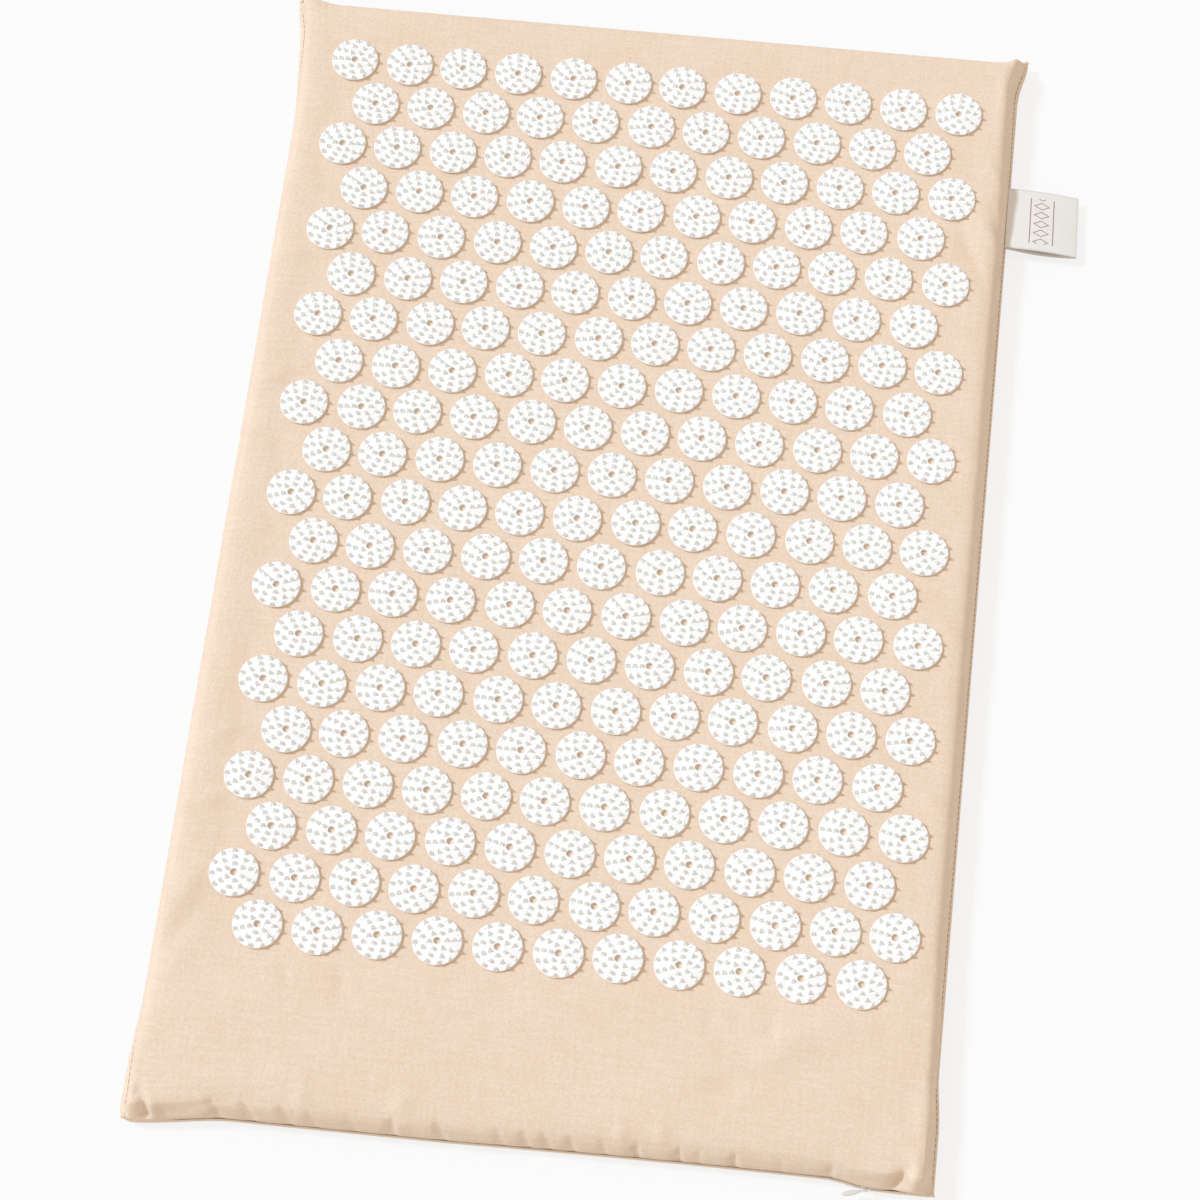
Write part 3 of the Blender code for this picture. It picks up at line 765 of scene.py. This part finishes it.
# Spike discs: 230 discs moulded in white polystyrene and glued to the cloth. Each is a low domed
# plate, undercut at its rim, with a middle hole, four tiny pits and 27 four-sided spikes in rings
# of 6, 9 and 12, which lean outwards more towards the rim.
PLATE_SIDES = 40
DISC_RADIUS = 0.013
HOLE_RADIUS = 0.0019
PLATE_FOOT_RADIUS = 0.0117
PLATE_UNDERSIDE = 0.0011
PLATE_EDGE = 0.0017
PLATE_DOME = 0.0004
RIM_ROUND = 0.0003
PIT_RADII = (0.01095, 0.01165)
PIT_HALF = 0.00034
PIT_DEPTH = 0.0006
PIT_START_SHARE = 0.25
SPIKE_RINGS = ((6, 0.0045, 0), (9, 0.0081, 0.5), (12, 0.0115, 0))
SPIKE_SIDES = 4
SPIKE_FOOT = 0.00175
SPIKE_TIP = 0.00006
SPIKE_HEIGHT = 0.0035
SPIKE_SUNK = 0.0003
SPIKE_LEAN_DEGREES = 13
DISC_TILT_DEGREES = 0.7
disc_plastic, node, join = blank_material("white_polystyrene")
disc_place = node("ShaderNodeTexCoord")
disc_grain = node("ShaderNodeTexNoise")
disc_grain.inputs["Scale"].default_value = 700
disc_grain.inputs["Detail"].default_value = 3
disc_batch = node("ShaderNodeTexNoise")
disc_batch.inputs["Scale"].default_value = 45
disc_tone = node("ShaderNodeValToRGB")
disc_tone.color_ramp.elements[0].color = (0.938, 0.935, 0.926, 1)
disc_tone.color_ramp.elements[1].color = (0.966, 0.964, 0.958, 1)
# The pits' faces are painted dark brown: the cloth's colour as seen through a pinhole, darkened as
# painted shade.
pit_painted_shade_mask = node("ShaderNodeAttribute")
pit_painted_shade_mask.attribute_name = "pit"
pit_painted_shade_mix = node("ShaderNodeMix")
pit_painted_shade_mix.data_type = "RGBA"
pit_painted_shade_mix.inputs["B"].default_value = (0.50, 0.36, 0.25, 1)
disc_shine = node("ShaderNodeMapRange")
disc_shine.inputs["To Min"].default_value = 0.34
disc_shine.inputs["To Max"].default_value = 0.48
disc_skin = node("ShaderNodeBump")
disc_skin.inputs["Distance"].default_value = 0.00004
disc_skin.inputs["Strength"].default_value = 0.25
disc_shader = node("ShaderNodeBsdfPrincipled")
disc_shader.inputs["Specular IOR Level"].default_value = 0.5
disc_out = node("ShaderNodeOutputMaterial")
join(disc_place.outputs["Object"], disc_grain.inputs["Vector"])
join(disc_place.outputs["Object"], disc_batch.inputs["Vector"])
join(disc_batch.outputs["Fac"], disc_tone.inputs["Fac"])
join(pit_painted_shade_mask.outputs["Fac"], pit_painted_shade_mix.inputs["Factor"])
join(disc_tone.outputs["Color"], pit_painted_shade_mix.inputs["A"])
join(disc_grain.outputs["Fac"], disc_shine.inputs["Value"])
join(disc_grain.outputs["Fac"], disc_skin.inputs["Height"])
join(pit_painted_shade_mix.outputs["Result"], disc_shader.inputs["Base Color"])
join(disc_shine.outputs["Result"], disc_shader.inputs["Roughness"])
join(disc_skin.outputs["Normal"], disc_shader.inputs["Normal"])
join(disc_shader.outputs[0], disc_out.inputs["Surface"])


def plate_height(radius):
    """The top of the plate: a low dome that falls to the rim."""
    return PLATE_EDGE + PLATE_DOME * (1 - (radius / DISC_RADIUS) ** 2)


def mesh_of(bm, name):
    """A mesh to copy from, with its bmesh set free."""
    made = bpy.data.meshes.new(name)
    bm.to_mesh(made)
    bm.free()
    return made


def add_copy(bm, mesh, place):
    """Add a copy of a mesh, put in its place."""
    before = set(bm.verts)
    bm.from_mesh(mesh)
    bmesh.ops.transform(bm, matrix=place, verts=[v for v in bm.verts if v not in before])


def spike_shape():
    """One upright spike on its foot, one flat side facing out along +X."""
    bm = bmesh.new()
    place = Matrix.Translation((0, 0, SPIKE_HEIGHT / 2)) @ Matrix.Rotation(math.pi / 4, 4, "Z")
    bmesh.ops.create_cone(
        bm, cap_ends=True, segments=SPIKE_SIDES, radius1=SPIKE_FOOT, radius2=SPIKE_TIP,
        depth=SPIKE_HEIGHT, matrix=place,
    )
    return bm


def disc_shape(spike):
    """One disc about its own middle, resting on zero: a turned plate, its pits and its spikes."""
    bm = bmesh.new()
    pit = bm.faces.layers.float.new("pit")
    tops = (HOLE_RADIUS, *PIT_RADII, DISC_RADIUS - RIM_ROUND)
    profile = [(HOLE_RADIUS, 0)]
    profile += [(radius, plate_height(radius)) for radius in tops]
    profile += [
        (DISC_RADIUS, PLATE_EDGE - RIM_ROUND),
        (DISC_RADIUS - RIM_ROUND, PLATE_UNDERSIDE),
        (PLATE_FOOT_RADIUS, 0),
    ]
    verts = [bm.verts.new((radius, 0, z)) for radius, z in profile]
    edges = [bm.edges.new(pair) for pair in zip(verts, verts[1:] + verts[:1])]
    bmesh.ops.spin(
        bm, geom=verts + edges, cent=(0, 0, 0), axis=(0, 0, 1), angle=2 * math.pi,
        steps=PLATE_SIDES, use_merge=True,
    )
    bmesh.ops.recalc_face_normals(bm, faces=bm.faces)
    for quarter in range(4):
        turn = math.pi / 4 + quarter * math.pi / 2
        middle = sum(PIT_RADII) / 2
        spot = Vector((middle * math.cos(turn), middle * math.sin(turn), plate_height(middle)))
        face = min(bm.faces, key=lambda f: (f.calc_center_median() - spot).length)
        bmesh.ops.inset_individual(bm, faces=[face], thickness=PIT_HALF * PIT_START_SHARE)
        centre = face.calc_center_median()
        for vert in face.verts:
            vert.co = centre + (vert.co - centre).normalized() * PIT_HALF
        hollow = bmesh.ops.extrude_face_region(bm, geom=[face])["geom"]
        sunk = [part for part in hollow if isinstance(part, bmesh.types.BMVert)]
        bmesh.ops.translate(bm, vec=(0, 0, -PIT_DEPTH), verts=sunk)
        bmesh.ops.delete(bm, geom=[face], context="FACES_ONLY")
        # Marks the pit's faces, which the material paints dark brown as painted shade.
        for dark in {f for v in sunk for f in v.link_faces}:
            dark[pit] = 1
    for count, radius, turned_share in SPIKE_RINGS:
        for number in range(count):
            turn = 2 * math.pi * (number + turned_share) / count
            lean = math.radians(SPIKE_LEAN_DEGREES) * radius / DISC_RADIUS
            place = (
                Matrix.Rotation(turn, 4, "Z")
                @ Matrix.Translation((radius, 0, plate_height(radius) - SPIKE_SUNK))
                @ Matrix.Rotation(lean, 4, "Y")
            )
            add_copy(bm, spike, place)
    return bm


disc_mesh = mesh_of(disc_shape(mesh_of(spike_shape(), "spike")), "disc")
for number, (node_name, middles) in enumerate(disc_rows):
    row_bm = bmesh.new()
    for middle in middles:
        turn = Matrix.Rotation(lay.uniform(0, 2 * math.pi), 4, "Z")
        tilt_x = math.radians(lay.uniform(-DISC_TILT_DEGREES, DISC_TILT_DEGREES))
        tilt_y = math.radians(lay.uniform(-DISC_TILT_DEGREES, DISC_TILT_DEGREES))
        tilt = Matrix.Rotation(tilt_x, 4, "X") @ Matrix.Rotation(tilt_y, 4, "Y")
        add_copy(row_bm, disc_mesh, Matrix.Translation((middle.x, middle.y, TOP_Z)) @ tilt @ turn)
    row = piece_from(row_bm, f"spike_discs_{number + 1:02d}", disc_plastic, "mat")
    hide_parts(node_name)

# Side label: a woven satin ribbon, folded in half and sewn into the right-hand seam. Its upper
# layer stands out level and its lower layer sags a little below it. The upper layer has a plain
# printed border: two thin lines, and between them a row of small lozenges.
label_low, label_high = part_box("side_label")
LABEL_WIDTH = label_high.y - label_low.y
LABEL_ROOT = settled(HALF_WIDTH - SEAM_INSET, (label_low.y + label_high.y) / 2)[0]
LABEL_PAST_BOX = 0.0004
LABEL_TIP = label_high.x + LABEL_PAST_BOX
RIBBON = 0.0003
LABEL_ROUTE_SHARES = (
    (0.00, 0.0090), (0.20, 0.0094), (0.45, 0.0093), (0.70, 0.0084), (0.92, 0.0070),
    (1.00, 0.0060), (0.93, 0.0050), (0.70, 0.0040), (0.45, 0.0042), (0.20, 0.0060), (0.00, 0.0080),
)
LABEL_SLANT = 0.0012
LABEL_SKEW = 0.0008
RIPPLE_HEIGHT = 0.0004
RIPPLES_ACROSS = 1.5
RIPPLES_OUT = 0.7
LABEL_ACROSS = 24
LABEL_ALONG = 72
satin, node, join = blank_material("label_satin")
label_flat = node("ShaderNodeUVMap")
label_flat.uv_map = "flat"
label_split = node("ShaderNodeSeparateXYZ")
join(label_flat.outputs["UV"], label_split.inputs["Vector"])
label_u = label_split.outputs["X"]
label_v = label_split.outputs["Y"]
BORDER_LINE = 0.00055
BORDER_AT = (0.0130, 0.0260)
LOZENGE_MIDDLE = 0.0195
LOZENGE_PITCH = 0.0056
LOZENGE_REACH = 0.0046
LOZENGE_HALF = 0.0023
LOZENGE_LINE_SHARE = 0.78
PRINT_MARGIN = 0.0045


def inside(value, low, high):
    """1 where a value lies between two others."""
    return math_of("MULTIPLY", math_of("GREATER_THAN", value, low), math_of("LESS_THAN", value, high))


printed = inside(label_v, BORDER_AT[0], BORDER_AT[0] + BORDER_LINE)
printed = math_of("MAXIMUM", printed, inside(label_v, BORDER_AT[1], BORDER_AT[1] + BORDER_LINE))
off_middle = math_of("ABSOLUTE", math_of("SUBTRACT", label_v, LOZENGE_MIDDLE))
lozenge = math_of(
    "ADD",
    math_of("DIVIDE", math_of("PINGPONG", label_u, LOZENGE_PITCH / 2), LOZENGE_HALF),
    math_of("DIVIDE", off_middle, LOZENGE_REACH),
)
printed = math_of("MAXIMUM", printed, inside(lozenge, LOZENGE_LINE_SHARE, 1.0))
printed = math_of("MULTIPLY", printed, inside(label_u, PRINT_MARGIN, LABEL_WIDTH - PRINT_MARGIN))
satin_rib = node("ShaderNodeTexWave")
satin_rib.bands_direction = "X"
satin_rib.inputs["Scale"].default_value = 900
satin_rib.inputs["Distortion"].default_value = 0.6
satin_cloud = node("ShaderNodeTexNoise")
satin_cloud.inputs["Scale"].default_value = 220
satin_tone = node("ShaderNodeMixRGB")
satin_tone.inputs["Color1"].default_value = (0.845, 0.825, 0.790, 1)
satin_tone.inputs["Color2"].default_value = (0.905, 0.890, 0.865, 1)
satin_print = node("ShaderNodeMixRGB")
satin_print.inputs["Color2"].default_value = (0.330, 0.205, 0.165, 1)
satin_relief = node("ShaderNodeBump")
satin_relief.inputs["Distance"].default_value = 0.00006
satin_relief.inputs["Strength"].default_value = 0.5
satin_shader = node("ShaderNodeBsdfPrincipled")
satin_shader.inputs["Roughness"].default_value = 0.5
satin_shader.inputs["Sheen Weight"].default_value = 0.2
satin_out = node("ShaderNodeOutputMaterial")
join(label_flat.outputs["UV"], satin_rib.inputs["Vector"])
join(label_flat.outputs["UV"], satin_cloud.inputs["Vector"])
join(satin_cloud.outputs["Fac"], satin_tone.inputs["Fac"])
join(satin_tone.outputs["Color"], satin_print.inputs["Color1"])
join(printed, satin_print.inputs["Fac"])
join(satin_rib.outputs["Fac"], satin_relief.inputs["Height"])
join(satin_print.outputs["Color"], satin_shader.inputs["Base Color"])
join(satin_relief.outputs["Normal"], satin_shader.inputs["Normal"])
join(satin_shader.outputs[0], satin_out.inputs["Surface"])

label_bm = bmesh.new()
bmesh.ops.create_grid(label_bm, x_segments=LABEL_ACROSS, y_segments=LABEL_ALONG, size=1)
label_uv = label_bm.loops.layers.uv.new("flat")
route = []
for step in range(LABEL_ALONG + 1):
    share = along_section(LABEL_ROUTE_SHARES, step / LABEL_ALONG)
    route.append(Vector((LABEL_ROOT + (LABEL_TIP - LABEL_ROOT) * share.x, share.y)))
ribbon_run = [0]
for one, two in zip(route, route[1:]):
    ribbon_run.append(ribbon_run[-1] + (two - one).length)
label_places = {}
for vert in label_bm.verts:
    step = round((vert.co.y + 1) / 2 * LABEL_ALONG)
    across = (vert.co.x + 1) / 2
    point = route[step]
    out_share = (point.x - LABEL_ROOT) / (LABEL_TIP - LABEL_ROOT)
    ripple_turn = math.pi * (RIPPLES_ACROSS * across + RIPPLES_OUT * out_share)
    ripple = RIPPLE_HEIGHT * out_share * math.sin(ripple_turn)
    place_y = label_low.y + LABEL_WIDTH * across - LABEL_SLANT * out_share
    place_x = point.x + LABEL_SKEW * out_share * (0.5 - across)
    label_places[vert] = (LABEL_WIDTH * across, ribbon_run[step])
    vert.co = (place_x, place_y, point.y + ripple)
smooth(label_bm)
for face in label_bm.faces:
    for loop in face.loops:
        loop[label_uv].uv = label_places[loop.vert]
bmesh.ops.recalc_face_normals(label_bm, faces=label_bm.faces)
label = piece_from(label_bm, "ribbon_label", satin, "mat")
thicken(label, "ribbon thickness", RIBBON)
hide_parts("side_label")

# Zip: a concealed one in the front edge. Two woven tapes carry a nylon filament wound into a coil
# on each, with a moulded stop at either end and a small lacquered slider parked at the right.
zip_tape_cloth, tape_rib, _, _ = two_tone(
    "woven_tape", "ShaderNodeTexWave", "Fac",
    dark=(0.62, 0.47, 0.35), light=(0.80, 0.64, 0.51), relief=0.00012, roughness=0.85,
)
tape_rib.bands_direction = "X"
tape_rib.inputs["Scale"].default_value = 420
tape_rib.inputs["Distortion"].default_value = 0.5
nylon, nylon_cloud, _, _ = two_tone(
    "nylon_filament", "ShaderNodeTexNoise", "Fac",
    dark=(0.66, 0.51, 0.38), light=(0.80, 0.65, 0.51), relief=0.00003, roughness=0.38,
)
nylon_cloud.inputs["Scale"].default_value = 900


def lacquer(name, dark, light, metallic):
    """A thin sprayed lacquer: small clouds in its colour, an orange-peel skin, a clear coat."""
    made, peel, _, shader = two_tone(
        name, "ShaderNodeTexNoise", "Fac", dark, light, relief=0.00002, roughness=0.35
    )
    peel.inputs["Scale"].default_value = 1400
    shader.inputs["Metallic"].default_value = metallic
    shader.inputs["Coat Weight"].default_value = 0.4
    return made


slider_lacquer = lacquer("slider_lacquer", (0.62, 0.60, 0.56), (0.76, 0.74, 0.70), metallic=0.4)
pull_lacquer = lacquer("pull_lacquer", (0.70, 0.68, 0.64), (0.80, 0.78, 0.74), metallic=0)
FINISHES = {"zip_stop_left": nylon, "zip_stop_right": nylon, "zip_slider_body": slider_lacquer}
for node_name, finish in FINISHES.items():
    for material_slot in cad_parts[node_name].material_slots:
        material_slot.material = finish

COIL_PITCH = 0.0014
FILAMENT_RADIUS = 0.00028
COIL_STEPS = 10
FILAMENT_SIDES = 5
for word in ("upper", "lower"):
    coil_low, coil_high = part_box(f"zip_coil_{word}")
    middle = (coil_low + coil_high) / 2
    reach_y = (coil_high.y - coil_low.y) / 2 - FILAMENT_RADIUS
    reach_z = (coil_high.z - coil_low.z) / 2 - FILAMENT_RADIUS
    turns = int((coil_high.x - coil_low.x - 2 * FILAMENT_RADIUS) / COIL_PITCH)
    steps = turns * COIL_STEPS
    coil_bm = bmesh.new()
    bmesh.ops.create_grid(coil_bm, x_segments=FILAMENT_SIDES, y_segments=steps, size=1)
    for vert in coil_bm.verts:
        side_turn = (vert.co.x + 1) * math.pi
        share = (vert.co.y + 1) / 2
        turn = 2 * math.pi * turns * share
        out = Vector((0, math.cos(turn), math.sin(turn)))
        x = middle.x + (share - 0.5) * turns * COIL_PITCH + FILAMENT_RADIUS * math.sin(side_turn)
        ring = out * FILAMENT_RADIUS * math.cos(side_turn)
        vert.co = (x, middle.y + out.y * reach_y + ring.y, middle.z + out.z * reach_z + ring.z)
    bmesh.ops.remove_doubles(coil_bm, verts=coil_bm.verts, dist=0.00001)
    bmesh.ops.holes_fill(coil_bm, edges=[edge for edge in coil_bm.edges if edge.is_boundary])
    bmesh.ops.recalc_face_normals(coil_bm, faces=coil_bm.faces)
    smooth(coil_bm)
    coil = piece_from(coil_bm, f"filament_coil_{word}", nylon, "mat")
    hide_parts(f"zip_coil_{word}")

TAPE_THICKNESS = 0.0006
TAPE_COLUMNS = 120
TAPE_ROWS = 4
TAPE_ROLL_SHARE = 0.45
for word, side in (("upper", 1), ("lower", -1)):
    tape_low, tape_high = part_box(f"zip_tape_{word}")
    coil_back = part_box(f"zip_coil_{word}")[1].y
    near_z = tape_low.z if side > 0 else tape_high.z
    rise = side * (tape_high.z - tape_low.z) * TAPE_ROLL_SHARE
    tape_bm = bmesh.new()
    bmesh.ops.create_grid(tape_bm, x_segments=TAPE_COLUMNS, y_segments=TAPE_ROWS, size=1)
    for vert in tape_bm.verts:
        x = tape_high.x * vert.co.x
        away = (vert.co.y + 1) / 2
        behind = settled(x, -HALF_LENGTH)[1] + HALF_LENGTH
        vert.co = (x, coil_back + (tape_high.y - coil_back) * away + behind, near_z + rise * away)
    smooth(tape_bm)
    tape = piece_from(tape_bm, f"woven_tape_{word}", zip_tape_cloth, "mat")
    thicken(tape, "tape thickness", TAPE_THICKNESS)
    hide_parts(f"zip_tape_{word}")

# Pull leaf: a thin white lacquered leaf with a small eye at its root, where the slider's bail holds
# it. It is twisted nearly a quarter turn past the eye, so that its broad side lies up.
pull_low, pull_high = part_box("zip_pull_tab")
LEAF_THICKNESS = 0.0009
LEAF_HALF = 0.0014
EYE_FROM_END = 0.0004
EYE_FROM_BACK = 0.0012
TIP_FROM_FRONT_SHARE = 0.6
TIP_DROP = 0.0002
TWIST_DEGREES = 78
TWIST_START_SHARE = 0.10
TWIST_RUN_SHARE = 0.30
LEAF_COLUMNS = 24
LEAF_ROWS = 6
LEAF_OUTLINE_SHARES = (
    (0.00, 0.42), (0.12, 0.40), (0.24, 0.36), (0.48, 0.86), (0.70, 1.00), (0.92, 0.62), (1.00, 0.12),
)
leaf_z = (pull_low.z + pull_high.z) / 2
leaf_root = Vector((pull_high.x - EYE_FROM_END, pull_high.y - EYE_FROM_BACK, leaf_z))
leaf_tip_y = pull_low.y + LEAF_HALF * TIP_FROM_FRONT_SHARE
leaf_tip = Vector((pull_low.x, leaf_tip_y, leaf_z - TIP_DROP))
leaf_bm = bmesh.new()
bmesh.ops.create_grid(leaf_bm, x_segments=LEAF_COLUMNS, y_segments=LEAF_ROWS, size=1)
leaf_run = leaf_tip - leaf_root
leaf_level = Vector((0, 0, 1)).cross(leaf_run).normalized()
for vert in leaf_bm.verts:
    share = (vert.co.x + 1) / 2
    outline = along_section(LEAF_OUTLINE_SHARES, share)
    twist_share = ease((outline.x - TWIST_START_SHARE) / TWIST_RUN_SHARE)
    twist = math.radians(TWIST_DEGREES) * twist_share
    broad = Vector((0, 0, 1)) * math.cos(twist) + leaf_level * math.sin(twist)
    vert.co = leaf_root + leaf_run * outline.x + broad * LEAF_HALF * outline.y * vert.co.y
smooth(leaf_bm)
leaf = piece_from(leaf_bm, "pull_leaf", pull_lacquer, "pull_tab")
thicken(leaf, "leaf thickness", LEAF_THICKNESS)
leaf_round = leaf.modifiers.new("rounded edge", "SUBSURF")
leaf_round.levels = 1
leaf_round.render_levels = 1
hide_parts("zip_pull_tab")
